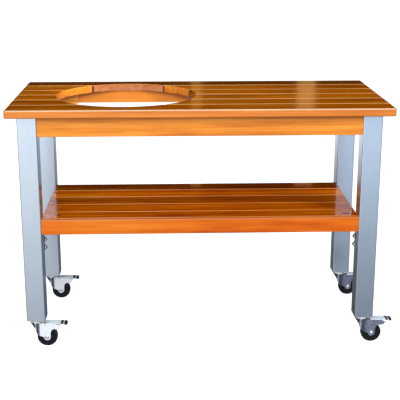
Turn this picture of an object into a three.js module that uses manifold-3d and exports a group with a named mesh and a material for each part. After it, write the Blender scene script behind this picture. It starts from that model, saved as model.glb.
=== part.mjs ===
// A table for a kamado grill: a plank top with a round cut-out, four square tube legs,
// a plank shelf and four swivel casters with brake pedals.
// Millimetres. +X runs to the right, -Y is the front, +Z is up.
// The floor is z = 0, and the origin lies under the middle of the whole table.

import * as THREE from "three";
import { mergeVertices } from "three/addons/utils/BufferGeometryUtils.js";
import Module from "manifold-3d";

const wasm = await Module();
wasm.setup();

// Table
const TABLE_LENGTH = 1372;
const TABLE_HEIGHT = 915;
const END_OVERHANG = 36;
const SIDE_OVERHANG = 49;

// Top
const TOP_PLANKS = 6;
const TOP_PLANK_WIDTH = 108;
const TOP_THICKNESS = 29;
const TOP_JOINT = 2;
const TOP_CORNER_RADIUS = 8;
const TOP_EDGE_ROUND = 4;
const TOP_PLANK_EASE = 4;

// Round cut-out for the grill
const CUTOUT_DIAMETER = 526;
const CUTOUT_FROM_LEFT = 411;
const CUTOUT_EASE = 2;

// Aprons, corner blocks and battens under the top
const APRON_HEIGHT = 75;
const REAR_APRON_HEIGHT = 47;
const APRON_THICKNESS = 17;
const APRON_EASE = 2;
const BATTEN_EASE = 1.5;
const BLOCK_LENGTH = 100;
const BLOCK_THICKNESS = 26;
const BLOCK_SCREW_RADIUS = 3.5;
const BLOCK_SCREW_RISE = 12;
const BLOCK_SCREW_SHARES = [1 / 12, 2 / 9];
const BATTEN_WIDTH = 45;
const BATTEN_HEIGHT = 22;
const BATTEN_INSET = 42;

// Legs
const LEG_SIZE = 70;
const LEG_WALL = 3;
const LEG_CORNER_RADIUS = 4;
const LEG_FLOOR = 5;

// Shelf
const SHELF_HEIGHT = 504;
const SHELF_PLANKS = 5;
const SHELF_PLANK_WIDTH = 101;
const SHELF_THICKNESS = 20;
const SHELF_JOINT = 2;
const SHELF_EASE = 2.5;
const SHELF_BEHIND_REAR_LEG_FACE = 15;
const SHELF_RAIL_HEIGHT = 56;
const SHELF_RAIL_THICKNESS = 22;
const CLEAT_WIDTH = 34;
const CLEAT_EASE = 1.5;

// Shelf brackets
const BRACKET_WIDTH = 25;
const BRACKET_REACH = 40;
const BRACKET_DROP = 72;
const BRACKET_SHEET = 4;
const BRACKET_FILLET = 5;
const BRACKET_BOLT_RADIUS = 4;
const BRACKET_BOLT_HEAD_RADIUS = 7.5;
const BRACKET_BOLT_HEAD_HEIGHT = 8;
const BRACKET_WASHER_RADIUS = 9;
const BRACKET_WASHER_HEIGHT = 2;
const BRACKET_FIRST_BOLT = 27;
const BRACKET_BOLT_SPACING = 31;
const REAR_BRACKET_FORWARD = 20;

// Caster as a whole
const CASTER_HEIGHT = 110;
const SWIVEL_OFFSET = 36;

// Caster plate, ball race and kingpin
const PLATE_SIZE = 58;
const PLATE_THICKNESS = 3;
const PLATE_CORNER_RADIUS = 6;
const PLATE_BOLT_INSET = 8;
const PLATE_BOLT_RADIUS = 4;
const PLATE_BOLT_HEAD_RADIUS = 6;
const PLATE_BOLT_HEAD_HEIGHT = 4;
const RACE_RADIUS = 24;
const RACE_HEIGHT = 11;
const RACE_EDGE = 3;
const KINGPIN_RADIUS = 5;
const KINGPIN_RIVET_RADIUS = 6.5;
const KINGPIN_RIVET_HEIGHT = 4;

// Wheel and axle
const WHEEL_DIAMETER = 76;
const WHEEL_WIDTH = 24;
const WHEEL_SHOULDER = 3;
const WHEEL_RIM_RADIUS = 28;
const WHEEL_WEB = 14;
const HUB_RADIUS = 12;
const HUB_PROUD = 1.2;
const AXLE_RADIUS = 4;
const AXLE_HEAD_RADIUS = 8;
const AXLE_HEAD_HEIGHT = 5;

// Caster fork
const FORK_SHEET = 3;
const FORK_WHEEL_GAP = 2.2;
const FORK_LEAD = 8;
const FORK_KNEE_HEIGHT = 59;
const FORK_SHIN_HEIGHT = 46;
const FORK_SHIN_BACK = 2;
const FORK_END_RADIUS = 13;
const FORK_NOSE_RADIUS = 13;
const CROWN_RADIUS = 26;
const THROAT_HEIGHT = 52;
const ARM_UNDERSIDE = 71;
const ARM_REACH = 86;
const ARM_NOSE = 6;
const ARM_SLOPE = 5.4;
const LEAF_REACH = 24;
const LEAF_BACK = 7.5;
const LEAF_WIDTH = 14;
const LEAF_LIP = 4;
const LEAF_TIP_HEIGHT = 64;

// Brake pedal
const PEDAL_SHEET = 3;
const PEDAL_START = 30;
const PEDAL_REACH = 113;
const PEDAL_BEND = 86;
const PEDAL_DROOP = 2.5;
const PEDAL_TIP_THICKNESS = 5;
const PEDAL_TIP_RADIUS = 8;
const PEDAL_TIP_LENGTH = 9;
const PEDAL_SLOT_LENGTH = 6;
const PEDAL_SLOT_WIDTH = 24;
const PEDAL_PIVOT_FROM_KINGPIN = 62;
const PEDAL_PIVOT_HEIGHT = 83;
const PEDAL_PIN_RADIUS = 3;
const PEDAL_EAR = 2.6;
const PEDAL_EAR_BOSS = 6.5;
const PEDAL_EAR_WIDTH = 19;
const SHOE_LENGTH = 6;
const SHOE_FROM_PIVOT = 5.2;
const SHOE_DROP = 17.2;

// Shared values
const GAP = 0.3;
const OVERRUN = 1;
const CUTOUT_SEGMENTS = 72;
const WHEEL_SEGMENTS = 28;
const ROUND_SEGMENTS = 14;
const PIN_SEGMENTS = 8;
const HEX_SEGMENTS = 6;
const CORNER_SEGMENTS = 3;
const EDGE_SEGMENTS = 2;

// Places worked out from the driving sizes
const TABLE_WIDTH = TOP_PLANKS * TOP_PLANK_WIDTH + (TOP_PLANKS - 1) * TOP_JOINT;
const TABLE_LEFT = -TABLE_LENGTH / 2;
const TABLE_RIGHT = TABLE_LENGTH / 2;
const TOP_UNDERSIDE = TABLE_HEIGHT - TOP_THICKNESS;
const CUTOUT_X = TABLE_LEFT + CUTOUT_FROM_LEFT;
const LEG_X = TABLE_RIGHT - END_OVERHANG - LEG_SIZE / 2;
const LEG_Y = TABLE_WIDTH / 2 - SIDE_OVERHANG - LEG_SIZE / 2;
const LEG_INNER_X = LEG_X - LEG_SIZE / 2;
const LEG_INNER_Y = LEG_Y - LEG_SIZE / 2;
const LEG_OUTER_X = LEG_X + LEG_SIZE / 2;
const LEG_OUTER_Y = LEG_Y + LEG_SIZE / 2;
const APRON_TOP = TOP_UNDERSIDE - GAP;
const APRON_BOTTOM = APRON_TOP - APRON_HEIGHT;
const REAR_APRON_BOTTOM = APRON_TOP - REAR_APRON_HEIGHT;
const APRON_INNER_Y = LEG_OUTER_Y - APRON_THICKNESS;
const RAIL_BOTTOM = SHELF_HEIGHT - SHELF_RAIL_HEIGHT;
const FRONT_RAIL_INNER_Y = -LEG_OUTER_Y + SHELF_RAIL_THICKNESS;
const SHELF_REAR_Y = LEG_INNER_Y + SHELF_BEHIND_REAR_LEG_FACE;
const REAR_RAIL_INNER_Y = SHELF_REAR_Y - SHELF_RAIL_THICKNESS;
const WHEEL_RADIUS = WHEEL_DIAMETER / 2;
const PLATE_UNDERSIDE = CASTER_HEIGHT - PLATE_THICKNESS;
const CROWN_TOP = PLATE_UNDERSIDE - RACE_HEIGHT - GAP;
const CROWN_BOTTOM = CROWN_TOP - FORK_SHEET;
const CHEEK_INNER_Y = WHEEL_WIDTH / 2 + FORK_WHEEL_GAP;
const CHEEK_OUTER_Y = CHEEK_INNER_Y + FORK_SHEET;
const PEDAL_UNDERSIDE = CROWN_BOTTOM - 2 * GAP - FORK_SHEET / 2;
const PEDAL_TOP = PEDAL_UNDERSIDE + PEDAL_SHEET;

// The four corners of the table
const CORNERS = [
  { name: "front_left", x: -1, y: -1 },
  { name: "front_right", x: 1, y: -1 },
  { name: "rear_left", x: -1, y: 1 },
  { name: "rear_right", x: 1, y: 1 },
];

// Materials
function finish(color, roughness, metalness) {
  return () => new THREE.MeshStandardMaterial({ color, roughness, metalness });
}

const topWood = finish(0xb0651d, 0.22, 0);
const apronWood = finish(0xc9772c, 0.3, 0);
const shelfWood = finish(0xa8560f, 0.22, 0);
const railWood = finish(0xd9691c, 0.28, 0);
const legMetal = finish(0xa9b4c4, 0.38, 0.85);
const zinc = finish(0xc8ccd2, 0.3, 0.95);
const tread = finish(0x17181b, 0.55, 0);

// Solid helpers
const TO_X = new THREE.Matrix4().set(0, 0, 1, 0, 1, 0, 0, 0, 0, 1, 0, 0, 0, 0, 0, 1);
const TO_Y = new THREE.Matrix4().makeRotationX(Math.PI / 2);

function solid(geometry) {
  const bare = geometry.clone();
  bare.deleteAttribute("normal");
  bare.deleteAttribute("uv");
  const merged = mergeVertices(bare);
  const vertProperties = new Float32Array(merged.attributes.position.array);
  const triVerts = new Uint32Array(merged.index.array);
  return new wasm.Manifold(new wasm.Mesh({ numProp: 3, vertProperties, triVerts }));
}

function geometryOf(body) {
  const mesh = body.getMesh();
  const geometry = new THREE.BufferGeometry();
  geometry.setAttribute("position", new THREE.BufferAttribute(mesh.vertProperties, mesh.numProp));
  geometry.setIndex(new THREE.BufferAttribute(mesh.triVerts, 1));
  geometry.computeVertexNormals();
  return geometry;
}

function joined(bodies) {
  return bodies.reduce((all, body) => all.add(body));
}

function cut(body, tools) {
  return tools.reduce((rest, tool) => rest.subtract(tool), body);
}

// A y, z outline pushed along x
function alongX(shape, from, to) {
  const geometry = new THREE.ExtrudeGeometry(shape, {
    depth: to - from,
    bevelEnabled: false,
    curveSegments: CORNER_SEGMENTS,
  });
  return solid(geometry.applyMatrix4(TO_X).translate(from, 0, 0));
}

// An x, z outline pushed along y
function alongY(shape, from, to) {
  const geometry = new THREE.ExtrudeGeometry(shape, {
    depth: to - from,
    bevelEnabled: false,
    curveSegments: CORNER_SEGMENTS,
  });
  return solid(geometry.applyMatrix4(TO_Y).translate(0, to, 0));
}

// An x, y outline pushed along z
function alongZ(shape, from, to) {
  const geometry = new THREE.ExtrudeGeometry(shape, {
    depth: to - from,
    bevelEnabled: false,
    curveSegments: CORNER_SEGMENTS,
  });
  return solid(geometry.translate(0, 0, from));
}

// A radius, height profile turned about a standing axis
function turnedZ(points, segments, x = 0, y = 0) {
  const profile = points.map(([radius, height]) => new THREE.Vector2(radius, height));
  const geometry = new THREE.LatheGeometry(profile, segments);
  return solid(geometry.applyMatrix4(TO_Y).translate(x, y, 0));
}

// A radius, distance profile turned about an axis along y
function turnedY(points, segments, x = 0, z = 0) {
  const profile = points.map(([radius, distance]) => new THREE.Vector2(radius, distance));
  const geometry = new THREE.LatheGeometry(profile, segments);
  return solid(geometry.translate(x, 0, z));
}

function rodY(radius, from, to, x, z, segments = PIN_SEGMENTS) {
  return turnedY([[0, from], [radius, from], [radius, to], [0, to]], segments, x, z);
}

function rodZ(radius, from, to, x, y, segments = PIN_SEGMENTS) {
  return turnedZ([[0, from], [radius, from], [radius, to], [0, to]], segments, x, y);
}

// A radius, distance profile turned about an axis along x
function turnedX(points, segments, y, z) {
  const profile = points.map(([radius, distance]) => new THREE.Vector2(radius, distance));
  const geometry = new THREE.LatheGeometry(profile, segments);
  return solid(geometry.rotateZ(-Math.PI / 2).translate(0, y, z));
}

function rodX(radius, from, to, y, z, segments = PIN_SEGMENTS) {
  return turnedX([[0, from], [radius, from], [radius, to], [0, to]], segments, y, z);
}

// The radius of a faceted hole whose flats clear a round pin by the gap
function holeFor(radius, segments = PIN_SEGMENTS) {
  return (radius + GAP) / Math.cos(Math.PI / segments);
}

function polygon(points) {
  return new THREE.Shape(points.map(([a, b]) => new THREE.Vector2(a, b)));
}

function rectangle(left, right, bottom, top) {
  return polygon([[left, bottom], [right, bottom], [right, top], [left, top]]);
}

// A rectangle whose corners are cut off by the ease
function easedRectangle(left, right, bottom, top, ease) {
  return polygon([
    [left + ease, bottom], [right - ease, bottom], [right, bottom + ease], [right, top - ease],
    [right - ease, top], [left + ease, top], [left, top - ease], [left, bottom + ease],
  ]);
}

function roundedRectangle(left, right, bottom, top, radius) {
  const shape = new THREE.Shape();
  shape.absarc(right - radius, bottom + radius, radius, -Math.PI / 2, 0);
  shape.absarc(right - radius, top - radius, radius, 0, Math.PI / 2);
  shape.absarc(left + radius, top - radius, radius, Math.PI / 2, Math.PI);
  shape.absarc(left + radius, bottom + radius, radius, Math.PI, 3 * Math.PI / 2);
  return shape;
}

const table = new THREE.Group();

function addPiece(name, body, material, parent = table) {
  const mesh = new THREE.Mesh(geometryOf(body), material());
  mesh.name = name;
  parent.add(mesh);
  return mesh;
}

// Plank top with the round cut-out
function topBlank() {
  const outline = roundedRectangle(
    TABLE_LEFT, TABLE_RIGHT, -TABLE_WIDTH / 2, TABLE_WIDTH / 2, TOP_CORNER_RADIUS);
  const geometry = new THREE.ExtrudeGeometry(outline, {
    depth: TOP_THICKNESS - 2 * TOP_EDGE_ROUND,
    bevelThickness: TOP_EDGE_ROUND,
    bevelSize: TOP_EDGE_ROUND,
    bevelOffset: -TOP_EDGE_ROUND,
    bevelSegments: EDGE_SEGMENTS,
    curveSegments: CORNER_SEGMENTS,
  });
  return solid(geometry.translate(0, 0, TOP_UNDERSIDE + TOP_EDGE_ROUND));
}

function cutoutTool() {
  const radius = CUTOUT_DIAMETER / 2;
  const flare = radius + CUTOUT_EASE + OVERRUN;
  return turnedZ([
    [0, TOP_UNDERSIDE - OVERRUN],
    [flare, TOP_UNDERSIDE - OVERRUN],
    [radius, TOP_UNDERSIDE + CUTOUT_EASE],
    [radius, TABLE_HEIGHT - CUTOUT_EASE],
    [flare, TABLE_HEIGHT + OVERRUN],
    [0, TABLE_HEIGHT + OVERRUN],
  ], CUTOUT_SEGMENTS, CUTOUT_X, 0);
}

function topPlank(index, from, to, blank, hole) {
  const front = -TABLE_WIDTH / 2 + index * (TOP_PLANK_WIDTH + TOP_JOINT);
  const profile = easedRectangle(
    front, front + TOP_PLANK_WIDTH, TOP_UNDERSIDE, TABLE_HEIGHT, TOP_PLANK_EASE);
  return alongX(profile, from, to).intersect(blank).subtract(hole);
}

function addTop() {
  const blank = topBlank();
  const hole = cutoutTool();
  const last = TOP_PLANKS - 1;
  const left = TABLE_LEFT - OVERRUN;
  const right = TABLE_RIGHT + OVERRUN;
  addPiece("top_plank_front", topPlank(0, left, right, blank, hole), topWood);
  addPiece("top_plank_rear", topPlank(last, left, right, blank, hole), topWood);
  for (let index = 1; index < last; index += 1) {
    const leftPart = topPlank(index, left, CUTOUT_X, blank, hole);
    const rightPart = topPlank(index, CUTOUT_X, right, blank, hole);
    addPiece(`top_plank_${index + 1}_left`, leftPart, topWood);
    addPiece(`top_plank_${index + 1}_right`, rightPart, topWood);
  }
}

// Aprons between the legs, the blocks in their corners and the battens under the planks
function addAprons() {
  const end = LEG_INNER_X - GAP;
  const frontProfile = easedRectangle(
    -LEG_OUTER_Y, -APRON_INNER_Y, APRON_BOTTOM, APRON_TOP, APRON_EASE);
  const rearProfile = easedRectangle(
    APRON_INNER_Y, LEG_OUTER_Y, REAR_APRON_BOTTOM, APRON_TOP, APRON_EASE);
  const sideProfile = easedRectangle(
    LEG_OUTER_X - APRON_THICKNESS, LEG_OUTER_X, APRON_BOTTOM, APRON_TOP, APRON_EASE);
  const side = LEG_INNER_Y - GAP;
  addPiece("apron_front", alongX(frontProfile, -end, end), apronWood);
  addPiece("apron_rear", alongX(rearProfile, -end, end), apronWood);
  addPiece("apron_left", alongY(sideProfile, -side, side), apronWood).rotation.z = Math.PI;
  addPiece("apron_right", alongY(sideProfile, -side, side), apronWood);
}

function cornerBlock(bottom) {
  const legSide = LEG_INNER_X - GAP;
  const freeEnd = legSide - BLOCK_LENGTH;
  const outline = easedRectangle(freeEnd, legSide, bottom, APRON_TOP, BATTEN_EASE);
  const wall = APRON_INNER_Y - GAP;
  const screws = BLOCK_SCREW_SHARES.map((share) => rodY(
    BLOCK_SCREW_RADIUS, wall - BLOCK_THICKNESS - OVERRUN, wall + OVERRUN,
    freeEnd + share * BLOCK_LENGTH, bottom + BLOCK_SCREW_RISE));
  return cut(alongY(outline, wall - BLOCK_THICKNESS, wall), screws);
}

function addCornerBlocks() {
  for (const corner of CORNERS) {
    const bottom = corner.y < 0 ? APRON_BOTTOM : REAR_APRON_BOTTOM;
    const mesh = addPiece(`corner_block_${corner.name}`, cornerBlock(bottom), apronWood);
    mesh.scale.set(corner.x, corner.y, 1);
    bakeMirror(mesh);
  }
}

// A mirrored copy keeps its faces pointing out
function bakeMirror(mesh) {
  const { x, y } = mesh.scale;
  const flips = new THREE.Matrix4().makeScale(x, y, 1);
  const body = solid(mesh.geometry).transform(flips.elements);
  mesh.geometry = geometryOf(body);
  mesh.scale.set(1, 1, 1);
}

function addBattens() {
  const holeEdge = CUTOUT_X + CUTOUT_DIAMETER / 2;
  const first = holeEdge + BATTEN_INSET;
  const last = (first + LEG_INNER_X) / 2;
  const reach = APRON_INNER_Y - GAP;
  [first, last].forEach((left, index) => {
    const profile = easedRectangle(
      left, left + BATTEN_WIDTH, APRON_TOP - BATTEN_HEIGHT, APRON_TOP, BATTEN_EASE);
    addPiece(`batten_${index + 1}`, alongY(profile, -reach, reach), apronWood);
  });
}

// Legs

// A front bracket carries the cleat behind the rail, and a rear bracket carries the rail itself
function bracketTop(corner) {
  return corner.y < 0 ? RAIL_BOTTOM + BRACKET_SHEET : RAIL_BOTTOM - GAP;
}

// How far the bracket sits from the leg's middle, as seen from the leg at the right
function bracketShift(corner) {
  return corner.y < 0 ? 0 : -corner.x * REAR_BRACKET_FORWARD;
}

function bracketBoltHeights(corner) {
  const first = bracketTop(corner) - BRACKET_SHEET - BRACKET_FIRST_BOLT;
  return [first, first - BRACKET_BOLT_SPACING];
}

// The leg at the right, whose inner face looks to -x
function leg(corner) {
  const half = LEG_SIZE / 2;
  const bore = half - LEG_WALL;
  const top = TOP_UNDERSIDE - GAP;
  const bottom = CASTER_HEIGHT + GAP;
  const outside = roundedRectangle(-half, half, -half, half, LEG_CORNER_RADIUS);
  const inside = roundedRectangle(-bore, bore, -bore, bore, LEG_CORNER_RADIUS - LEG_WALL);
  const boltHole = holeFor(BRACKET_BOLT_RADIUS);
  const plateHole = holeFor(PLATE_BOLT_RADIUS, HEX_SEGMENTS);
  const bracketHoles = bracketBoltHeights(corner).map((height) => rodX(
    boltHole, -half - OVERRUN, -bore + OVERRUN, bracketShift(corner), height));
  const plateHoles = plateBoltPlaces().map(([x, y]) => rodZ(
    plateHole, bottom - OVERRUN, bottom + LEG_FLOOR + OVERRUN, x, y, HEX_SEGMENTS));
  return cut(alongZ(outside, bottom, top), [
    alongZ(inside, bottom + LEG_FLOOR, top + OVERRUN),
    ...bracketHoles,
    ...plateHoles,
  ]);
}

function plateBoltPlaces() {
  const reach = PLATE_SIZE / 2 - PLATE_BOLT_INSET;
  return [[-reach, -reach], [reach, -reach], [reach, reach], [-reach, reach]];
}

function addLegs() {
  for (const corner of CORNERS) {
    const mesh = addPiece(`leg_${corner.name}`, leg(corner), legMetal);
    mesh.position.set(corner.x * LEG_X, corner.y * LEG_Y, 0);
    mesh.rotation.z = corner.x < 0 ? Math.PI : 0;
  }
}

// Shelf
// The first plank is ripped to fit behind the front rail, and the last to end over the rear rail
function shelfPlankEdges() {
  const first = FRONT_RAIL_INNER_Y + SHELF_JOINT;
  const pitch = SHELF_PLANK_WIDTH + SHELF_JOINT;
  const edges = [];
  for (let index = 0; index < SHELF_PLANKS; index += 1) {
    const front = Math.max(first, -LEG_OUTER_Y + index * pitch);
    const isLast = index === SHELF_PLANKS - 1;
    const back = isLast ? SHELF_REAR_Y : -LEG_OUTER_Y + (index + 1) * pitch - SHELF_JOINT;
    edges.push([front, back]);
  }
  return edges;
}

function addShelf() {
  const end = LEG_INNER_X - GAP;
  const plankBottom = SHELF_HEIGHT - SHELF_THICKNESS;
  const cleatTop = plankBottom - GAP;
  const frontRail = easedRectangle(
    -LEG_OUTER_Y, FRONT_RAIL_INNER_Y, RAIL_BOTTOM, SHELF_HEIGHT, SHELF_EASE);
  const rearRail = easedRectangle(
    REAR_RAIL_INNER_Y, SHELF_REAR_Y, RAIL_BOTTOM, cleatTop, SHELF_EASE);
  addPiece("shelf_rail_front", alongX(frontRail, -end, end), railWood);
  addPiece("shelf_rail_rear", alongX(rearRail, -end, end), railWood);
  shelfPlankEdges().forEach(([front, back], index) => {
    const profile = easedRectangle(front, back, plankBottom, SHELF_HEIGHT, SHELF_EASE);
    addPiece(`shelf_plank_${index + 1}`, alongX(profile, -end, end), shelfWood);
  });
  const cleatBottom = RAIL_BOTTOM + BRACKET_SHEET + GAP;
  const cleats = { left: -end, middle: -CLEAT_WIDTH / 2, right: end - CLEAT_WIDTH };
  for (const [name, left] of Object.entries(cleats)) {
    const profile = easedRectangle(left, left + CLEAT_WIDTH, cleatBottom, cleatTop, CLEAT_EASE);
    const body = alongY(profile, FRONT_RAIL_INNER_Y + GAP, REAR_RAIL_INNER_Y - GAP);
    addPiece(`shelf_cleat_${name}`, body, shelfWood);
  }
}

// Angle bracket at the right, with its two bolts, seen from its leg's axis
function bracket(corner) {
  const face = -LEG_SIZE / 2 - GAP;
  const top = bracketTop(corner);
  const flange = top - BRACKET_SHEET;
  const inner = face - BRACKET_SHEET;
  const outline = new THREE.Shape();
  outline.moveTo(face, top);
  outline.lineTo(face - BRACKET_REACH, top);
  outline.lineTo(face - BRACKET_REACH, flange);
  outline.lineTo(inner - BRACKET_FILLET, flange);
  outline.quadraticCurveTo(inner, flange, inner, flange - BRACKET_FILLET);
  outline.lineTo(inner, top - BRACKET_DROP);
  outline.lineTo(face, top - BRACKET_DROP);
  const half = BRACKET_WIDTH / 2;
  const shift = bracketShift(corner);
  const bolts = bracketBoltHeights(corner).map((height) => bracketBolt(inner, shift, height));
  return joined([alongY(outline, shift - half, shift + half), ...bolts]);
}

function bracketBolt(face, y, height) {
  const washer = face - BRACKET_WASHER_HEIGHT;
  const head = washer - BRACKET_BOLT_HEAD_HEIGHT;
  const crown = BRACKET_BOLT_HEAD_RADIUS / 2;
  const shankEnd = -LEG_SIZE / 2 + LEG_WALL + BRACKET_SHEET;
  const hexHead = turnedX([
    [0, head],
    [crown, head],
    [BRACKET_BOLT_HEAD_RADIUS, head + crown],
    [BRACKET_BOLT_HEAD_RADIUS, face],
    [0, face],
  ], HEX_SEGMENTS, y, height);
  const washerAndShank = turnedX([
    [0, washer],
    [BRACKET_WASHER_RADIUS, washer],
    [BRACKET_WASHER_RADIUS, face],
    [BRACKET_BOLT_RADIUS, face],
    [BRACKET_BOLT_RADIUS, shankEnd],
    [0, shankEnd],
  ], PIN_SEGMENTS, y, height);
  return hexHead.add(washerAndShank);
}

function addBrackets() {
  for (const corner of CORNERS) {
    const mesh = addPiece(`bracket_${corner.name}`, bracket(corner), zinc);
    mesh.position.set(corner.x * LEG_X, corner.y * LEG_Y, 0);
    mesh.rotation.z = corner.x < 0 ? Math.PI : 0;
  }
}

// Caster, with its kingpin on x = 0, y = 0 and its wheel trailing to +x
function casterPlate() {
  const half = PLATE_SIZE / 2;
  const sheet = alongZ(
    roundedRectangle(-half, half, -half, half, PLATE_CORNER_RADIUS), PLATE_UNDERSIDE, CASTER_HEIGHT);
  const raceBottom = CROWN_TOP + GAP;
  const rivetTop = CROWN_BOTTOM - GAP;
  const rivetBottom = rivetTop - KINGPIN_RIVET_HEIGHT;
  const race = turnedZ([
    [0, rivetBottom],
    [KINGPIN_RIVET_RADIUS, rivetBottom],
    [KINGPIN_RIVET_RADIUS, rivetTop],
    [KINGPIN_RADIUS, rivetTop],
    [KINGPIN_RADIUS, raceBottom],
    [RACE_RADIUS - RACE_EDGE, raceBottom],
    [RACE_RADIUS, raceBottom + RACE_EDGE],
    [RACE_RADIUS, PLATE_UNDERSIDE - RACE_EDGE],
    [RACE_RADIUS - RACE_EDGE, PLATE_UNDERSIDE],
    [RACE_RADIUS - RACE_EDGE, PLATE_UNDERSIDE + PLATE_THICKNESS / 2],
    [0, PLATE_UNDERSIDE + PLATE_THICKNESS / 2],
  ], ROUND_SEGMENTS);
  const bolts = plateBoltPlaces().map(([x, y]) => turnedZ([
    [0, PLATE_UNDERSIDE - PLATE_BOLT_HEAD_HEIGHT],
    [PLATE_BOLT_HEAD_RADIUS, PLATE_UNDERSIDE - PLATE_BOLT_HEAD_HEIGHT],
    [PLATE_BOLT_HEAD_RADIUS, PLATE_UNDERSIDE + PLATE_THICKNESS / 2],
    [PLATE_BOLT_RADIUS, PLATE_UNDERSIDE + PLATE_THICKNESS / 2],
    [PLATE_BOLT_RADIUS, CASTER_HEIGHT + LEG_FLOOR],
    [0, CASTER_HEIGHT + LEG_FLOOR],
  ], HEX_SEGMENTS, x, y));
  return joined([sheet, race, ...bolts]);
}

// The cheek's outline: a leading edge that turns in under the knee, a round end at the axle
// and an arm behind
function forkSideOutline() {
  const armTop = PEDAL_UNDERSIDE - 2 * GAP;
  const rear = SWIVEL_OFFSET + FORK_END_RADIUS;
  const outline = new THREE.Shape();
  outline.moveTo(-FORK_LEAD, CROWN_TOP);
  outline.lineTo(-FORK_LEAD, FORK_KNEE_HEIGHT);
  outline.lineTo(FORK_SHIN_BACK, FORK_SHIN_HEIGHT);
  outline.absarc(SWIVEL_OFFSET, WHEEL_RADIUS, FORK_END_RADIUS, Math.PI, 2 * Math.PI);
  outline.lineTo(rear, THROAT_HEIGHT);
  outline.quadraticCurveTo(rear, ARM_UNDERSIDE, rear + ARM_UNDERSIDE - THROAT_HEIGHT, ARM_UNDERSIDE);
  outline.lineTo(ARM_REACH - ARM_NOSE, ARM_UNDERSIDE);
  outline.lineTo(ARM_REACH, ARM_UNDERSIDE + ARM_NOSE);
  outline.lineTo(ARM_REACH, armTop - ARM_SLOPE);
  outline.lineTo(PEDAL_PIVOT_FROM_KINGPIN, armTop);
  outline.lineTo(CROWN_RADIUS, armTop);
  outline.lineTo(CROWN_RADIUS, CROWN_TOP);
  return outline;
}

// A plan of the fork with a round nose, set in from the outside by the sheet
function forkPlan(inset) {
  const nose = FORK_NOSE_RADIUS - inset;
  const side = CHEEK_OUTER_Y - inset;
  const lead = -FORK_LEAD + inset;
  const shape = new THREE.Shape();
  shape.moveTo(ARM_REACH + OVERRUN, -side);
  shape.lineTo(ARM_REACH + OVERRUN, side);
  shape.absarc(lead + nose, side - nose, nose, Math.PI / 2, Math.PI);
  shape.absarc(lead + nose, -side + nose, nose, Math.PI, 3 * Math.PI / 2);
  return shape;
}

function fork() {
  const cheeks = alongY(forkSideOutline(), -CHEEK_OUTER_Y, CHEEK_OUTER_Y)
    .intersect(alongZ(forkPlan(0), 0, CROWN_TOP));
  const crown = rodZ(CROWN_RADIUS, CROWN_BOTTOM, CROWN_TOP, 0, 0, ROUND_SEGMENTS);
  const leaf = alongY(polygon([
    [-LEAF_REACH, CROWN_TOP],
    [-LEAF_REACH, CROWN_TOP - LEAF_LIP],
    [-LEAF_BACK, LEAF_TIP_HEIGHT],
    [-LEAF_BACK, CROWN_TOP],
  ]), -LEAF_WIDTH / 2, LEAF_WIDTH / 2);
  const hollow = alongZ(forkPlan(FORK_SHEET), -OVERRUN, CROWN_BOTTOM);
  const rivetRelief = rodZ(
    KINGPIN_RIVET_RADIUS + FORK_WHEEL_GAP, CROWN_BOTTOM - KINGPIN_RIVET_HEIGHT - FORK_WHEEL_GAP,
    CROWN_BOTTOM, 0, 0, ROUND_SEGMENTS);
  const kingpinHole = rodZ(
    holeFor(KINGPIN_RADIUS, ROUND_SEGMENTS), CROWN_BOTTOM - OVERRUN, CROWN_TOP + OVERRUN,
    0, 0, ROUND_SEGMENTS);
  const axleHole = rodY(
    holeFor(AXLE_RADIUS), -CHEEK_OUTER_Y - OVERRUN, CHEEK_OUTER_Y + OVERRUN,
    SWIVEL_OFFSET, WHEEL_RADIUS);
  const pinEnd = CHEEK_OUTER_Y + PEDAL_PIN_RADIUS / 2;
  const pin = rodY(PEDAL_PIN_RADIUS, -pinEnd, pinEnd, PEDAL_PIVOT_FROM_KINGPIN, PEDAL_PIVOT_HEIGHT);
  const shell = cut(cheeks, [hollow, rivetRelief]);
  return cut(joined([shell, crown, leaf]), [kingpinHole, axleHole]).add(pin);
}

function wheel() {
  const side = WHEEL_WIDTH / 2;
  const hub = side + HUB_PROUD;
  const web = WHEEL_WEB / 2;
  const bore = AXLE_RADIUS + GAP;
  const half = [
    [bore, hub],
    [HUB_RADIUS, hub],
    [HUB_RADIUS, web],
    [WHEEL_RIM_RADIUS, web],
    [WHEEL_RIM_RADIUS, side],
    [WHEEL_RADIUS - WHEEL_SHOULDER, side],
    [WHEEL_RADIUS, side - WHEEL_SHOULDER],
  ];
  const front = half.map(([radius, distance]) => [radius, -distance]);
  const profile = [...front, ...half.toReversed(), front[0]];
  return turnedY(profile, WHEEL_SEGMENTS, SWIVEL_OFFSET, WHEEL_RADIUS);
}

function axle() {
  const cheek = CHEEK_OUTER_Y + GAP;
  const end = cheek + AXLE_HEAD_HEIGHT;
  const dome = AXLE_HEAD_RADIUS / 2;
  const half = [
    [AXLE_RADIUS, cheek],
    [AXLE_HEAD_RADIUS, cheek],
    [AXLE_HEAD_RADIUS, end - dome / 2],
    [dome, end],
    [0, end],
  ];
  const front = half.toReversed().map(([radius, distance]) => [radius, -distance]);
  return turnedY([...front, ...half], ROUND_SEGMENTS, SWIVEL_OFFSET, WHEEL_RADIUS);
}

// Brake pedal, with its ears on the fork's pin and its shoe above the tread
function pedalPlateOutline() {
  const tipTop = PEDAL_TOP - PEDAL_DROOP;
  const tipBottom = tipTop - PEDAL_TIP_THICKNESS;
  return polygon([
    [PEDAL_START, PEDAL_UNDERSIDE],
    [PEDAL_BEND, PEDAL_UNDERSIDE],
    [PEDAL_REACH - PEDAL_TIP_LENGTH, tipTop - PEDAL_SHEET],
    [PEDAL_REACH - PEDAL_TIP_LENGTH, tipBottom],
    [PEDAL_REACH, tipBottom],
    [PEDAL_REACH, tipTop],
    [PEDAL_BEND, PEDAL_TOP],
    [PEDAL_START, PEDAL_TOP],
  ]);
}

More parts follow.
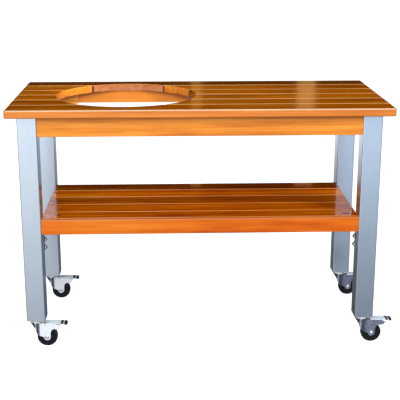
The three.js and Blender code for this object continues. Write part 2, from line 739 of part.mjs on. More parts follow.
function pedalEarOutline() {
  const shoeX = PEDAL_PIVOT_FROM_KINGPIN + SHOE_FROM_PIVOT;
  const shoeZ = PEDAL_PIVOT_HEIGHT - SHOE_DROP;
  const left = PEDAL_PIVOT_FROM_KINGPIN - PEDAL_EAR_WIDTH / 2;
  const right = shoeX + SHOE_LENGTH;
  const top = PEDAL_UNDERSIDE + PEDAL_SHEET / 2;
  return polygon([
    [left, top],
    [left + PEDAL_EAR, PEDAL_PIVOT_HEIGHT],
    [PEDAL_PIVOT_FROM_KINGPIN - PEDAL_EAR, PEDAL_PIVOT_HEIGHT - PEDAL_EAR_BOSS],
    [shoeX, shoeZ],
    [right, shoeZ],
    [right, top],
  ]);
}

function pedal() {
  const half = CHEEK_OUTER_Y;
  const plan = roundedRectangle(
    PEDAL_START - OVERRUN, PEDAL_REACH, -half, half, PEDAL_TIP_RADIUS);
  const plate = alongY(pedalPlateOutline(), -half, half).intersect(alongZ(plan, 0, CASTER_HEIGHT));
  const slotEnd = PEDAL_REACH - PEDAL_TIP_LENGTH - PEDAL_SLOT_LENGTH;
  const slot = alongZ(
    rectangle(slotEnd - PEDAL_SLOT_LENGTH, slotEnd, -PEDAL_SLOT_WIDTH / 2, PEDAL_SLOT_WIDTH / 2),
    0, CASTER_HEIGHT);
  const earOutside = CHEEK_INNER_Y - 2 * GAP;
  const earInside = earOutside - PEDAL_EAR;
  const ears = [[-earOutside, -earInside], [earInside, earOutside]].map(
    ([from, to]) => alongY(pedalEarOutline(), from, to));
  const shoeX = PEDAL_PIVOT_FROM_KINGPIN + SHOE_FROM_PIVOT;
  const shoeZ = PEDAL_PIVOT_HEIGHT - SHOE_DROP;
  const shoe = alongY(
    rectangle(shoeX, shoeX + SHOE_LENGTH, shoeZ, shoeZ + PEDAL_EAR), -earOutside, earOutside);
  const bore = rodY(
    holeFor(PEDAL_PIN_RADIUS), -half, half, PEDAL_PIVOT_FROM_KINGPIN, PEDAL_PIVOT_HEIGHT);
  return joined([plate.subtract(slot), ...ears, shoe]).subtract(bore);
}

function addCasters() {
  for (const corner of CORNERS) {
    const caster = new THREE.Group();
    caster.position.set(corner.x * LEG_X, corner.y * LEG_Y, 0);
    table.add(caster);
    addPiece(`caster_plate_${corner.name}`, casterPlate(), zinc, caster);
    addPiece(`caster_fork_${corner.name}`, fork(), zinc, caster);
    addPiece(`wheel_${corner.name}`, wheel(), tread, caster);
    addPiece(`axle_${corner.name}`, axle(), zinc, caster);
    addPiece(`brake_pedal_${corner.name}`, pedal(), zinc, caster);
  }
}

addTop();
addAprons();
addCornerBlocks();
addBattens();
addLegs();
addShelf();
addBrackets();
addCasters();

// The pedals of the right-hand casters may reach past the top, so the middle moves with them
const reachRight = Math.max(TABLE_RIGHT, LEG_X + PEDAL_REACH);
table.position.x = -(TABLE_LEFT + reachRight) / 2;

export default table;
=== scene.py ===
# A rolling table for a kamado grill: varnished plank top with a round cut-out, satin aluminium legs,
# a plank shelf and zinc-plated swivel casters with brake pedals.
# Metres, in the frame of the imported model: +X right, +Y to the rear, +Z up, floor at z = 0.

import math

import bmesh
import bpy
from mathutils import Matrix, Vector


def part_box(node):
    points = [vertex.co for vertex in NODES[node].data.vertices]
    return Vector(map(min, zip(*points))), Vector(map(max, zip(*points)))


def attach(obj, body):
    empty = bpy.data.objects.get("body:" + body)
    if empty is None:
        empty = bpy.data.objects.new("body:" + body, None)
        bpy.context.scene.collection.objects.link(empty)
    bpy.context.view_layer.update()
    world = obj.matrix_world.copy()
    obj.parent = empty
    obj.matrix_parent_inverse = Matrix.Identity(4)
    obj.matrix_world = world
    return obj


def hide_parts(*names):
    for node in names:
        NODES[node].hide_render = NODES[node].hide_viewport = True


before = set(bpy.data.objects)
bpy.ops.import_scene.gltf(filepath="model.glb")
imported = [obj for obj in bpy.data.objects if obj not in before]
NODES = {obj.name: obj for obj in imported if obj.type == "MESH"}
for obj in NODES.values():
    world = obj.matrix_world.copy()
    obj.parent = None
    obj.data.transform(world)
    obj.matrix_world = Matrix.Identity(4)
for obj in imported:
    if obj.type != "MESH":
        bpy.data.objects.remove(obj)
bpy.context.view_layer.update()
CORNERS = ("front_left", "front_right", "rear_left", "rear_right")

# Camera, as fitted to the photograph
CAMERA_PLACE = (-0.13593, -3.58752, 1.51023)
CAMERA_YAW = 0.0338
CAMERA_PITCH = 0.2754
CAMERA_SENSOR_MM = 36
FOCAL_PIXELS = 949.58
IMAGE_PIXELS = 400

# Floor
FLOOR_SIZE = 160
FLOOR_COLOR = (0.60, 0.60, 0.60)
FLOOR_GLOW = 0.93
FLOOR_ROUGHNESS = 0.9

# Shades of wood, each as dark, middle and light
TOP_SHADES = ((0.36, 0.060, 0.0004), (0.66, 0.155, 0.0010), (0.86, 0.250, 0.004))
EDGE_SHADES = ((0.50, 0.115, 0.001), (0.68, 0.185, 0.005), (0.82, 0.275, 0.020))
REAR_WALL_SHADES = ((0.48, 0.135, 0.036), (0.63, 0.220, 0.070), (0.74, 0.29, 0.10))
END_GRAIN_SHADES = ((0.70, 0.160, 0.006), (0.95, 0.310, 0.030), (1.00, 0.40, 0.07))
# Painted shade: the hole's wall where it faces away from the lights, darker than the lit end grain
WALL_PAINTED_SHADES = ((0.11, 0.026, 0.003), (0.20, 0.055, 0.006), (0.30, 0.085, 0.010))
APRON_SHADES = ((0.54, 0.140, 0.010), (0.84, 0.270, 0.030), (1.00, 0.40, 0.060))
# Painted light: the corner blocks are the apron's wood made lighter, standing in for light through the hole
BLOCK_PAINTED_LIGHT_SHADES = ((0.92, 0.330, 0.035), (1.00, 0.450, 0.055), (1.00, 0.54, 0.080))
SHELF_SHADES = ((0.36, 0.044, 0.0003), (0.76, 0.150, 0.0010), (1.00, 0.280, 0.0050))
RAIL_SHADES = ((0.46, 0.060, 0.0012), (0.70, 0.140, 0.004), (0.82, 0.23, 0.018))

# Single shades: the eased edges' painted highlights, the planks' ends' painted shade, the knots
# and the seam in the hole's wall
JOINT_LIP_HIGHLIGHT = (0.84, 0.40, 0.088)
FRONT_LIP_HIGHLIGHT = (0.86, 0.52, 0.30)
SHELF_LIP_HIGHLIGHT = (0.80, 0.31, 0.055)
RAIL_LIP_HIGHLIGHT = (0.58, 0.24, 0.12)
PAINTED_END_SHADE = (0.10, 0.028, 0.003)
KNOT_SHADE = (0.035, 0.004, 0.002)
SEAM_SHADE = (0.10, 0.025, 0.004)

# The round cut-out. Past the radius, its wall's shades are full at the second reach and end at the first
HOLE_MIDDLE = (-0.296, 0.0)
HOLE_RADIUS = 0.263
WALL_REACH = (0.0032, 0.0028)
SEAM_WIDTH = 0.0028
SEAM_CORE = 0.7 * SEAM_WIDTH


def add_camera():
    data = bpy.data.cameras.new("camera")
    data.sensor_width = CAMERA_SENSOR_MM
    data.lens = FOCAL_PIXELS / IMAGE_PIXELS * data.sensor_width
    data.clip_end = FLOOR_SIZE
    camera = bpy.data.objects.new("camera", data)
    bpy.context.scene.collection.objects.link(camera)
    camera.location = CAMERA_PLACE
    camera.rotation_euler = (math.pi / 2 - CAMERA_PITCH, 0, -CAMERA_YAW)
    bpy.context.scene.camera = camera


# Node tree helpers
class Nodes:
    """A node tree with short calls for the nodes that the materials and the world share."""

    def __init__(self, tree):
        self.tree = tree

    def add(self, kind, **settings):
        node = self.tree.nodes.new(kind)
        for key, value in settings.items():
            setattr(node, key, value)
        return node

    def link(self, source, target):
        self.tree.links.new(source, target)

    def put(self, socket, value):
        if isinstance(value, bpy.types.NodeSocket):
            self.link(value, socket)
        else:
            socket.default_value = value

    def mapped(self, place, scale, offset=(0, 0, 0)):
        node = self.add("ShaderNodeMapping")
        self.link(place, node.inputs["Vector"])
        node.inputs["Scale"].default_value = scale
        node.inputs["Location"].default_value = offset
        return node.outputs["Vector"]

    def noise(self, place, scale, detail, roughness, distortion=0):
        node = self.add("ShaderNodeTexNoise")
        self.link(place, node.inputs["Vector"])
        node.inputs["Scale"].default_value = scale
        node.inputs["Detail"].default_value = detail
        node.inputs["Roughness"].default_value = roughness
        node.inputs["Distortion"].default_value = distortion
        return node.outputs["Fac"]

    def math(self, operation, a, b=0.0):
        node = self.add("ShaderNodeMath", operation=operation)
        self.put(node.inputs[0], a)
        self.put(node.inputs[1], b)
        return node.outputs[0]

    def times(self, a, b):
        return self.math("MULTIPLY", a, b)

    def plus(self, a, b):
        return self.math("ADD", a, b)

    def weighed(self, *terms):
        total = None
        for value, weight in terms:
            part = self.times(value, weight)
            total = part if total is None else self.plus(total, part)
        return total

    def split(self, vector):
        node = self.add("ShaderNodeSeparateXYZ")
        self.link(vector, node.inputs[0])
        return node.outputs

    def spread(self, value, low, high, to_low=0.0, to_high=1.0):
        node = self.add("ShaderNodeMapRange")
        self.link(value, node.inputs["Value"])
        limits = {"From Min": low, "From Max": high, "To Min": to_low, "To Max": to_high}
        for key, number in limits.items():
            node.inputs[key].default_value = number
        return node.outputs["Result"]

    def ramp(self, value, stops):
        node = self.add("ShaderNodeValToRGB")
        self.link(value, node.inputs["Fac"])
        elements = node.color_ramp.elements
        while len(elements) < len(stops):
            elements.new(1.0)
        for element, (position, color) in zip(elements, stops):
            element.position = position
            element.color = (*color, 1)
        return node.outputs["Color"]

    def grey_ramp(self, value, stops):
        return self.ramp(value, [(position, (glow, glow, glow)) for position, glow in stops])

    def mix(self, share, a, b, blend="MIX"):
        node = self.add("ShaderNodeMix", data_type="RGBA", blend_type=blend)
        self.put(node.inputs["Factor"], share)
        for socket, value in ((node.inputs[6], a), (node.inputs[7], b)):
            self.put(socket, (*value, 1) if isinstance(value, tuple) else value)
        return node.outputs[2]

    def distance(self, place, point, scale):
        node = self.add("ShaderNodeVectorMath", operation="DISTANCE")
        self.link(self.mapped(place, scale), node.inputs[0])
        node.inputs[1].default_value = [a * b for a, b in zip(point, scale)]
        return node.outputs["Value"]

    def bump(self, height, strength, distance, normal=None):
        node = self.add("ShaderNodeBump")
        node.inputs["Strength"].default_value = strength
        node.inputs["Distance"].default_value = distance
        self.link(height, node.inputs["Height"])
        if normal is not None:
            self.link(normal, node.inputs["Normal"])
        return node.outputs["Normal"]


UPWARD_BY_Z = (0.0, 0.1)


class Finish(Nodes):
    """A new material with its shader and the place of each point on the object."""

    def __init__(self, name):
        self.material = bpy.data.materials.new(name)
        self.material.use_nodes = True
        super().__init__(self.material.node_tree)
        self.shader = self.tree.nodes["Principled BSDF"]
        self.place = self.add("ShaderNodeTexCoord").outputs["Object"]

    def set(self, **values):
        for key, value in values.items():
            self.put(self.shader.inputs[key.replace("_", " ")], value)

    def facing(self):
        """Each face's own direction: its parts along x and z without their signs, and if it looks up."""
        x, _, z = self.split(self.add("ShaderNodeNewGeometry").outputs["True Normal"])
        return self.math("ABSOLUTE", x), self.math("ABSOLUTE", z), self.spread(z, *UPWARD_BY_Z)

    def dimmed(self, color, share):
        """The color times a single value."""
        grey = self.add("ShaderNodeCombineColor")
        for socket in grey.inputs[:3]:
            self.link(share, socket)
        return self.mix(1.0, color, grey.outputs[0], "MULTIPLY")


# The layers of the grain: a cell's length and width, and the noise's detail, roughness and distortion
GRAIN_LAYERS = {
    "figure": (0.62, 0.050, 3, 0.5, 0.5),
    "streak": (0.34, 0.013, 4, 0.6, 0.25),
    "line": (0.16, 0.0045, 3, 0.6),
    "patch": (0.30, 0.22, 2, 0.5),
    "fibre": (0.05, 0.0012, 2, 0.6),
}
GRAIN_WEIGHTS = {"figure": 0.40, "streak": 0.31, "line": 0.11, "patch": 0.18}
GRAIN_STOPS = (0.38, 0.50, 0.63)
SEED_STEPS = (3.17, 1.73, 2.31)

# Where a face counts as an edge, lip, end or wall, by how far it looks along x or z: not at all at the
# first value, and fully at the second
EDGE_BY_Z = (0.62, 0.50)
LIP_BELOW_Z = (0.96, 0.90)
LIP_ABOVE_Z = (0.30, 0.36)
END_BY_X = (0.2, 0.3)
END_BY_Z = (0.1, 0.2)
WALL_BY_Z = (0.9, 0.8)

# The eased edges' painted highlight: its darker shade, as a share of the light one, and the grain values
# between which it pales
LIP_DARK_SHARE = 0.82
LIP_GRAIN = (0.35, 0.65)

# The blotches of the hole's wall: cells per metre, the noise's detail and roughness, and the weights
MOTTLE_CELLS = (70, 70, 70)
MOTTLE_NOISE = (3, 0.6)
WALL_GRAIN_WEIGHT = 0.55
MOTTLE_WEIGHT = 0.45

# A knot ends at the first distance, in its own radii, and is fully dark at the second
KNOT_REACH = (1.45, 0.85)
KNOT_RAGGEDNESS = 0.7

# Roughness over the streaks, and the strength and depth of the two bumps
WOOD_ROUGHNESS = (0.3, 0.7, 0.42, 0.55)
PORE_BUMP = (0.05, 0.0004)
LINE_BUMP = (0.05, 0.0008)


def toned(shades, tone):
    return [tuple(min(1.0, channel * tone) for channel in shade) for shade in shades]


def grain_stops(shades):
    return list(zip(GRAIN_STOPS, shades))


def grain_layers(finish, offset, along):
    """The noise of each layer, stretched along x or y."""
    layers = {}
    for key, (length, width, *character) in GRAIN_LAYERS.items():
        across = 1 / width
        scale = (1 / length, across, across) if along == "x" else (across, 1 / length, across)
        layers[key] = finish.noise(finish.mapped(finish.place, scale, offset), 1.0, *character)
    return layers


def wood(name, seed, shades, tone=1.0, along="x", coat=1.0, coat_roughness=0.12, coat_ior=1.6, knots=(),
         edges=None, lip=None, end=None, wall=None, seam=None):
    """Varnished wood with its grain along x or y.

    The edges are the shades of its upright faces, the lip is the painted highlight of its slanted
    ones, the end is the painted shade of its slanted ends, and the wall holds the shades of the faces around
    the hole, some of them painted shade, where the seam is the place of a dark joint. Each knot has its place
    and its two radii.
    """
    finish = Finish(name)
    offset = tuple(seed * step for step in SEED_STEPS)
    layers = grain_layers(finish, offset, along)
    grain = finish.weighed(*((layers[key], weight) for key, weight in GRAIN_WEIGHTS.items()))
    color = finish.ramp(grain, grain_stops(toned(shades, tone)))
    along_x, along_z, upward = finish.facing()
    if edges:
        upright = finish.ramp(grain, grain_stops(edges))
        color = finish.mix(finish.spread(along_z, *EDGE_BY_Z), color, upright)
    # Painted highlight on the eased edges: the slanted faces that look up
    if lip:
        share = finish.times(finish.spread(along_z, *LIP_BELOW_Z), finish.spread(along_z, *LIP_ABOVE_Z))
        share = finish.times(share, upward)
        darker = tuple(LIP_DARK_SHARE * channel for channel in lip)
        color = finish.mix(share, color, finish.mix(finish.spread(grain, *LIP_GRAIN), darker, lip))
    # Painted shade on the planks' slanted ends
    if end:
        share = finish.times(finish.spread(along_x, *END_BY_X), finish.spread(along_z, *END_BY_Z))
        color = finish.mix(share, color, end)
    # The hole's wall; on the planks where it faces away from the lights its shades are painted shade
    if wall:
        away = finish.distance(finish.place, (*HOLE_MIDDLE, 0), (1, 1, 0))
        inside = finish.spread(away, *(HOLE_RADIUS + reach for reach in WALL_REACH))
        share = finish.times(inside, finish.spread(along_z, *WALL_BY_Z))
        mottle = finish.noise(finish.mapped(finish.place, MOTTLE_CELLS, offset), 1.0, *MOTTLE_NOISE)
        blotch = finish.weighed((grain, WALL_GRAIN_WEIGHT), (mottle, MOTTLE_WEIGHT))
        inner = finish.ramp(blotch, grain_stops(wall))
        if seam is not None:
            off = finish.math("ABSOLUTE", finish.math("SUBTRACT", finish.split(finish.place)[1], seam))
            inner = finish.mix(finish.spread(off, SEAM_WIDTH, SEAM_CORE), inner, SEAM_SHADE)
        color = finish.mix(share, color, inner)
    for place, radii in knots:
        away = finish.distance(finish.place, (*place, 0), (1 / radii[0], 1 / radii[1], 0))
        ragged = finish.weighed((away, 1.0), (layers["streak"], KNOT_RAGGEDNESS))
        color = finish.mix(finish.spread(ragged, *KNOT_REACH), color, KNOT_SHADE)
    pores = finish.bump(layers["fibre"], *PORE_BUMP)
    finish.set(Base_Color=color, Roughness=finish.spread(layers["streak"], *WOOD_ROUGHNESS),
               Coat_Weight=coat, Coat_Roughness=coat_roughness, Coat_IOR=coat_ior,
               Specular_IOR_Level=0.0, Normal=finish.bump(layers["line"], *LINE_BUMP, pores))
    return finish.material


# The legs' metal. Painted shade makes it darkest at the foot's height and below, by each corner's amount
LEG_METALLIC = {"front_left": 0.92, "front_right": 0.92, "rear_left": 0.84, "rear_right": 0.88}
LEG_FOOT_PAINTED_SHADE = {"front_left": 0.94, "front_right": 0.80, "rear_left": 0.86, "rear_right": 0.84}
LEG_FOOT_HEIGHT = 0.15
LEG_HEAD_HEIGHT = 0.75
LEG_DARK = (0.77, 0.845, 0.935)
LEG_LIGHT = (0.85, 0.91, 0.995)
LEG_TINT = (0.35, 0.65)
LEG_ROUGHNESS = (0.25, 0.75, 0.23, 0.27)
LEG_BUMP = (0.035, 0.0002)

# The metals' and rubbers' noises: their cells per metre, then their detail and roughness. Each bump has
# its strength and depth
BRUSHED_CELLS = (700, 700, 40)
BRUSHED_NOISE = (3, 0.6)
CLOUD_CELLS = (30, 30, 14)
CLOUD_NOISE = (3, 0.55)
CLOUD_WEIGHT = 0.35
LEG_GRIT_NOISE = (420, 3, 0.6)
LEG_GRIT_WEIGHT = 0.65
ZINC_SPECK_NOISE = (190, 3, 0.6)
ZINC_SPANGLE_CELLS = 420
ZINC_SPANGLE_BUMP = (0.12, 0.0004)
ZINC_TINT = (0.35, 0.65)
ZINC_ROUGHNESS_BY_SPECK = (0.3, 0.7)
RUBBER_SCUFF_NOISE = (60, 3, 0.65)
RUBBER_SPECK_NOISE = (420, 2, 0.5)
RUBBER_GRIT = (4, 0.6)
RUBBER_GRIT_BUMP = (0.2, 0.0003)
RUBBER_SCUFF = (0.45, 0.75)
RUBBER_SCUFF_GAIN = 1.8
RUBBER_SPECK = (0.60, 0.74)
RUBBER_SPECK_GAIN = 4
RUBBER_ROUGHNESS_BY_SCUFF = (0.3, 0.7)
RUBBER_SPECULAR = 0.3

# Plated and plain metals: light and dark shade, metallic share, lowest and highest roughness
METALS = {
    "bracket_zinc": ((0.40, 0.43, 0.48), (0.26, 0.28, 0.32), 0.9, 0.28, 0.42),
    "nut_zinc": ((0.80, 0.83, 0.90), (0.62, 0.65, 0.72), 1.0, 0.10, 0.16),
    "bolt_zinc": ((0.92, 0.93, 0.95), (0.75, 0.78, 0.82), 1.0, 0.16, 0.26),
    "plate_zinc": ((0.94, 0.95, 0.97), (0.80, 0.82, 0.86), 0.2, 0.2, 0.3),
    "washer_steel": ((0.020, 0.022, 0.026), (0.012, 0.013, 0.016), 0.6, 0.35, 0.5),
    "screw_steel": ((0.045, 0.030, 0.022), (0.020, 0.014, 0.010), 0.6, 0.4, 0.6),
    "race_brass": ((0.60, 0.36, 0.12), (0.10, 0.05, 0.02), 0.4, 0.25, 0.4),
}
RACE_PLATING = ((1.0, 1.0, 1.0), (0.84, 0.86, 0.90), 0.2, 0.2, 0.3)
PEDAL_PLATING = ((0.90, 0.98, 1.0), (0.74, 0.88, 0.97), 0.1, 0.25, 0.38)
FORK_PLATING = ((1.0, 1.0, 1.0), (0.80, 0.83, 0.88), 0.12, 0.26, 0.4)

# Rubbers: shade, lowest and highest roughness, and cells per metre of the grit
RUBBERS = {
    "wheel_rubber": ((0.006, 0.006, 0.0075), 0.5, 0.65, 900),
    "pad_rubber": ((0.020, 0.026, 0.040), 0.4, 0.55, 700),
}


def aluminium(corner):
    """Satin metal, with painted shade that darkens it towards the foot."""
    finish = Finish(f"leg_aluminium_{corner}")
    brushed = finish.noise(finish.mapped(finish.place, BRUSHED_CELLS), 1.0, *BRUSHED_NOISE)
    cloud = finish.noise(finish.mapped(finish.place, CLOUD_CELLS), 1.0, *CLOUD_NOISE)
    grit = finish.noise(finish.place, *LEG_GRIT_NOISE)
    tint = finish.weighed((cloud, CLOUD_WEIGHT), (grit, LEG_GRIT_WEIGHT))
    color = finish.mix(finish.spread(tint, *LEG_TINT), LEG_DARK, LEG_LIGHT)
    # Painted shade: the colour darkens from the head's height down to the foot's
    height = finish.split(finish.place)[2]
    tone = finish.spread(height, LEG_FOOT_HEIGHT, LEG_HEAD_HEIGHT, LEG_FOOT_PAINTED_SHADE[corner], 1.0)
    finish.set(Base_Color=finish.dimmed(color, tone), Metallic=LEG_METALLIC[corner],
               Normal=finish.bump(brushed, *LEG_BUMP), Roughness=finish.spread(grit, *LEG_ROUGHNESS))
    return finish.material


def zinc(name, light, dark, metallic, low, high):
    finish = Finish(name)
    spangle = finish.add("ShaderNodeTexVoronoi", feature="SMOOTH_F1")
    finish.link(finish.place, spangle.inputs["Vector"])
    spangle.inputs["Scale"].default_value = ZINC_SPANGLE_CELLS
    speck = finish.noise(finish.place, *ZINC_SPECK_NOISE)
    finish.set(Base_Color=finish.mix(finish.spread(speck, *ZINC_TINT), light, dark), Metallic=metallic,
               Roughness=finish.spread(speck, *ZINC_ROUGHNESS_BY_SPECK, low, high),
               Normal=finish.bump(spangle.outputs["Distance"], *ZINC_SPANGLE_BUMP))
    return finish


def rubber(name, shade, low, high, grit_cells):
    finish = Finish(name)
    grit = finish.noise(finish.place, grit_cells, *RUBBER_GRIT)
    scuff = finish.noise(finish.place, *RUBBER_SCUFF_NOISE)
    speck = finish.noise(finish.place, *RUBBER_SPECK_NOISE)
    scuffed = tuple(channel * RUBBER_SCUFF_GAIN for channel in shade)
    color = finish.mix(finish.spread(scuff, *RUBBER_SCUFF), shade, scuffed)
    specked = tuple(channel * RUBBER_SPECK_GAIN for channel in shade)
    color = finish.mix(finish.spread(speck, *RUBBER_SPECK), color, specked)
    finish.set(Base_Color=color, Roughness=finish.spread(scuff, *RUBBER_ROUGHNESS_BY_SCUFF, low, high),
               Specular_IOR_Level=RUBBER_SPECULAR, Normal=finish.bump(grit, *RUBBER_GRIT_BUMP))
    return finish.material


# Dressing a CAD node: its own shape, with soft shading over its small chamfers
SHARP_ANGLE = math.radians(50)
BEVEL_ANGLE = math.radians(32)
MERGE_DISTANCE = 0.00002
BEVEL_SEGMENTS = 2
NORMAL_WEIGHT = 80
SHEET_BEVEL = 0.0004
FORK_BEVEL = 0.0006


def smoothing_group(name, keep_corners):
    """Merges the triangles' points and shades them softly, with crisp edges at square corners if wanted."""
    group = bpy.data.node_groups.new(name, "GeometryNodeTree")
    group.interface.new_socket("Geometry", in_out="INPUT", socket_type="NodeSocketGeometry")
    group.interface.new_socket("Geometry", in_out="OUTPUT", socket_type="NodeSocketGeometry")
    nodes = group.nodes
    start = nodes.new("NodeGroupInput")
    end = nodes.new("NodeGroupOutput")
    plain = nodes.new("GeometryNodeRemoveAttribute")
    plain.inputs["Name"].default_value = "custom_normal"
    merge = nodes.new("GeometryNodeMergeByDistance")
    merge.inputs["Distance"].default_value = MERGE_DISTANCE
    smooth = nodes.new("GeometryNodeSetShadeSmooth")
    group.links.new(start.outputs[0], plain.inputs["Geometry"])
    group.links.new(plain.outputs["Geometry"], merge.inputs["Geometry"])
    group.links.new(merge.outputs["Geometry"], smooth.inputs["Geometry"])
    if not keep_corners:
        group.links.new(smooth.outputs["Geometry"], end.inputs[0])
        return group
    angle = nodes.new("GeometryNodeInputMeshEdgeAngle")
    corner = nodes.new("FunctionNodeCompare")
    corner.data_type = "FLOAT"
    corner.operation = "GREATER_THAN"
    corner.inputs[1].default_value = SHARP_ANGLE
    crisp = nodes.new("GeometryNodeSetShadeSmooth")
    crisp.domain = "EDGE"
    crisp.inputs["Shade Smooth"].default_value = False
    group.links.new(angle.outputs["Unsigned Angle"], corner.inputs[0])
    group.links.new(smooth.outputs["Geometry"], crisp.inputs["Geometry"])
    group.links.new(corner.outputs["Result"], crisp.inputs["Selection"])
    group.links.new(crisp.outputs["Geometry"], end.inputs[0])
    return group


# Pieces without a bevel keep their square corners crisp
SMOOTHING = {True: smoothing_group("smoothing_corners", True), False: smoothing_group("smoothing", False)}


def add_bevel(obj, width):
    edge = obj.modifiers.new("bevel", "BEVEL")
    edge.width = width
    edge.segments = BEVEL_SEGMENTS
    edge.limit_method = "ANGLE"
    return edge


def dress(node, material, bevel=0.0):
    obj = NODES[node]
    obj.data.materials.clear()
    obj.data.materials.append(material)
    nodes = obj.modifiers.new("smoothing", "NODES")
    nodes.node_group = SMOOTHING[not bevel]
    if bevel:
        edge = add_bevel(obj, bevel)
        edge.angle_limit = BEVEL_ANGLE
        edge.use_clamp_overlap = True
    normals = obj.modifiers.new("normals", "WEIGHTED_NORMAL")
    normals.keep_sharp = True
    normals.weight = NORMAL_WEIGHT


# Mesh pieces. For each axis of turning: the two directions across it and the one along it
TURNING = {
    "x": ((0, 1, 0), (0, 0, 1), (1, 0, 0)),
    "y": ((0, 0, 1), (1, 0, 0), (0, 1, 0)),
    "z": ((1, 0, 0), (0, 1, 0), (0, 0, 1)),
}
ARC_STEPS = 6


def turned(mesh, profile, segments, place, axis, slot=0):
    """Turns a profile of radius and distance along an axis; a radius of zero closes the end."""
    side, up, ahead = (Vector(direction) for direction in TURNING[axis])
    angles = [2 * math.pi * step / segments for step in range(segments)]
    spokes = [side * math.cos(a) + up * math.sin(a) for a in angles]
    rings = []
    for radius, distance in profile:
        middle = Vector(place) + ahead * distance
        if radius == 0:
            rings.append([mesh.verts.new(middle)] * segments)
        else:
            rings.append([mesh.verts.new(middle + radius * spoke) for spoke in spokes])
    for first, second in zip(rings, rings[1:]):
        for step in range(segments):
            corner = (step + 1) % segments
            ring = [first[step], first[corner], second[corner], second[step]]
            unique = list(dict.fromkeys(ring))
            if len(unique) > 2:
                face = mesh.faces.new(unique)
                face.material_index = slot
                face.smooth = True


def arc(middle, radius, start, end):
    """Points of radius and distance on an arc, in degrees from the radius direction."""
    angles = [math.radians(start + (end - start) * step / ARC_STEPS) for step in range(ARC_STEPS + 1)]
    return [(middle[0] + radius * math.cos(a), middle[1] + radius * math.sin(a)) for a in angles]


def shifted(points, distance):
    """A profile's points, moved along its axis."""
    return [(radius, distance + step) for radius, step in points]


def piece_from(name, mesh, materials, body, bevel=0.0):
    bmesh.ops.recalc_face_normals(mesh, faces=mesh.faces)
    data = bpy.data.meshes.new(name)
    mesh.to_mesh(data)
    mesh.free()
    for material in materials:
        data.materials.append(material)
    obj = bpy.data.objects.new(name, data)
    bpy.context.scene.collection.objects.link(obj)
    if bevel:
        add_bevel(obj, bevel)
    normals = obj.modifiers.new("normals", "WEIGHTED_NORMAL")
    normals.keep_sharp = True
    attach(obj, body)
    return obj


def block(mesh, low, high, turn=None):
    size = Vector(high) - Vector(low)
    matrix = Matrix.Translation((Vector(low) + Vector(high)) / 2) @ Matrix.Diagonal((*size, 1))
    if turn is not None:
        matrix = turn @ matrix
    bmesh.ops.create_cube(mesh, size=1, matrix=matrix)


def middle_of(node):
    low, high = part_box(node)
    return (Vector(low) + Vector(high)) / 2, Vector(high) - Vector(low)


# The wheel's half section as radius and distance: the hub from its end, the web from the wheel's middle,
# and the rim from the tyre's side, which lies a little inside the hub's end
WHEEL_SEGMENTS = 72
TYRE_INSET = 0.0012
TYRE_SHOULDER = 0.0042
HUB_POINTS = ((0.0043, 0.0), (0.0110, 0.0), (0.0118, -0.0006))
WEB_POINTS = ((0.0125, 0.0074), (0.0132, 0.0070), (0.0272, 0.0070), (0.0280, 0.0078))
RIM_POINTS = ((0.0288, -0.0008), (0.0296, 0.0))
WHEEL_RIBS = 8
RIB_HALF_THICKNESS = 0.0012
RIB_INSET = 0.002
RIB_START = 0.0112
RIB_END = 0.0284


def wheel(corner, material):
    middle, size = middle_of(f"wheel_{corner}")
    radius = size.z / 2
    hub = size.y / 2
    side = hub - TYRE_INSET
    mesh = bmesh.new()
    shoulder = arc((radius - TYRE_SHOULDER, side - TYRE_SHOULDER), TYRE_SHOULDER, 90, 0)
    half = [*shifted(HUB_POINTS, hub), *WEB_POINTS, *shifted(RIM_POINTS, side), *shoulder]
    mirrored = [(r, -d) for r, d in reversed(half)]
    turned(mesh, [*half, *mirrored, half[0]], WHEEL_SEGMENTS, middle, "y")
    rib_side = side - RIB_INSET
    rib_low = (-RIB_HALF_THICKNESS, -rib_side, RIB_START)
    rib_high = (RIB_HALF_THICKNESS, rib_side, RIB_END)
    for index in range(WHEEL_RIBS):
        spin = Matrix.Rotation(2 * math.pi * index / WHEEL_RIBS, 4, "Y")
        turn = Matrix.Translation(middle) @ spin
        block(mesh, rib_low, rib_high, turn)
    piece = piece_from(f"wheel_tyre_{corner}", mesh, [material], f"wheel_{corner}")
    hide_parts(f"wheel_{corner}")


# The axle's bolt: its domed head from the front end, and its tip and nut from the rear end
BOLT_SEGMENTS = 40
BOLT_DOME = 0.0088
BOLT_DOME_ANGLES = (-90, -35)
BOLT_HEAD = ((0.0079, 0.0040), (0.0080, 0.0049), (0.0040, 0.0050))
BOLT_TIP = ((0.0040, -0.0002), (0, 0.0))
BOLT_NUT = ((0.0042, -0.0050), (0.0078, -0.0049), (0.0080, -0.0044), (0.0080, -0.0014),
            (0.0066, -0.0004), (0.0042, -0.0004))
BOLT_BEVEL = 0.0003
HEX_SIDES = 6


def axle(corner, bright, dull):
    middle, size = middle_of(f"axle_{corner}")
    reach = size.y / 2
    mesh = bmesh.new()
    dome = arc((0.0, -reach + BOLT_DOME), BOLT_DOME, *BOLT_DOME_ANGLES)[1:]
    bolt = [(0, -reach), *dome, *shifted(BOLT_HEAD, -reach), *shifted(BOLT_TIP, reach)]
    turned(mesh, bolt, BOLT_SEGMENTS, middle, "y")
    turned(mesh, shifted(BOLT_NUT, reach), HEX_SIDES, middle, "y", 1)
    body = f"fork_{corner}"
    piece = piece_from(f"axle_bolt_{corner}", mesh, [bright, dull], body, BOLT_BEVEL)
    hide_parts(f"axle_{corner}")


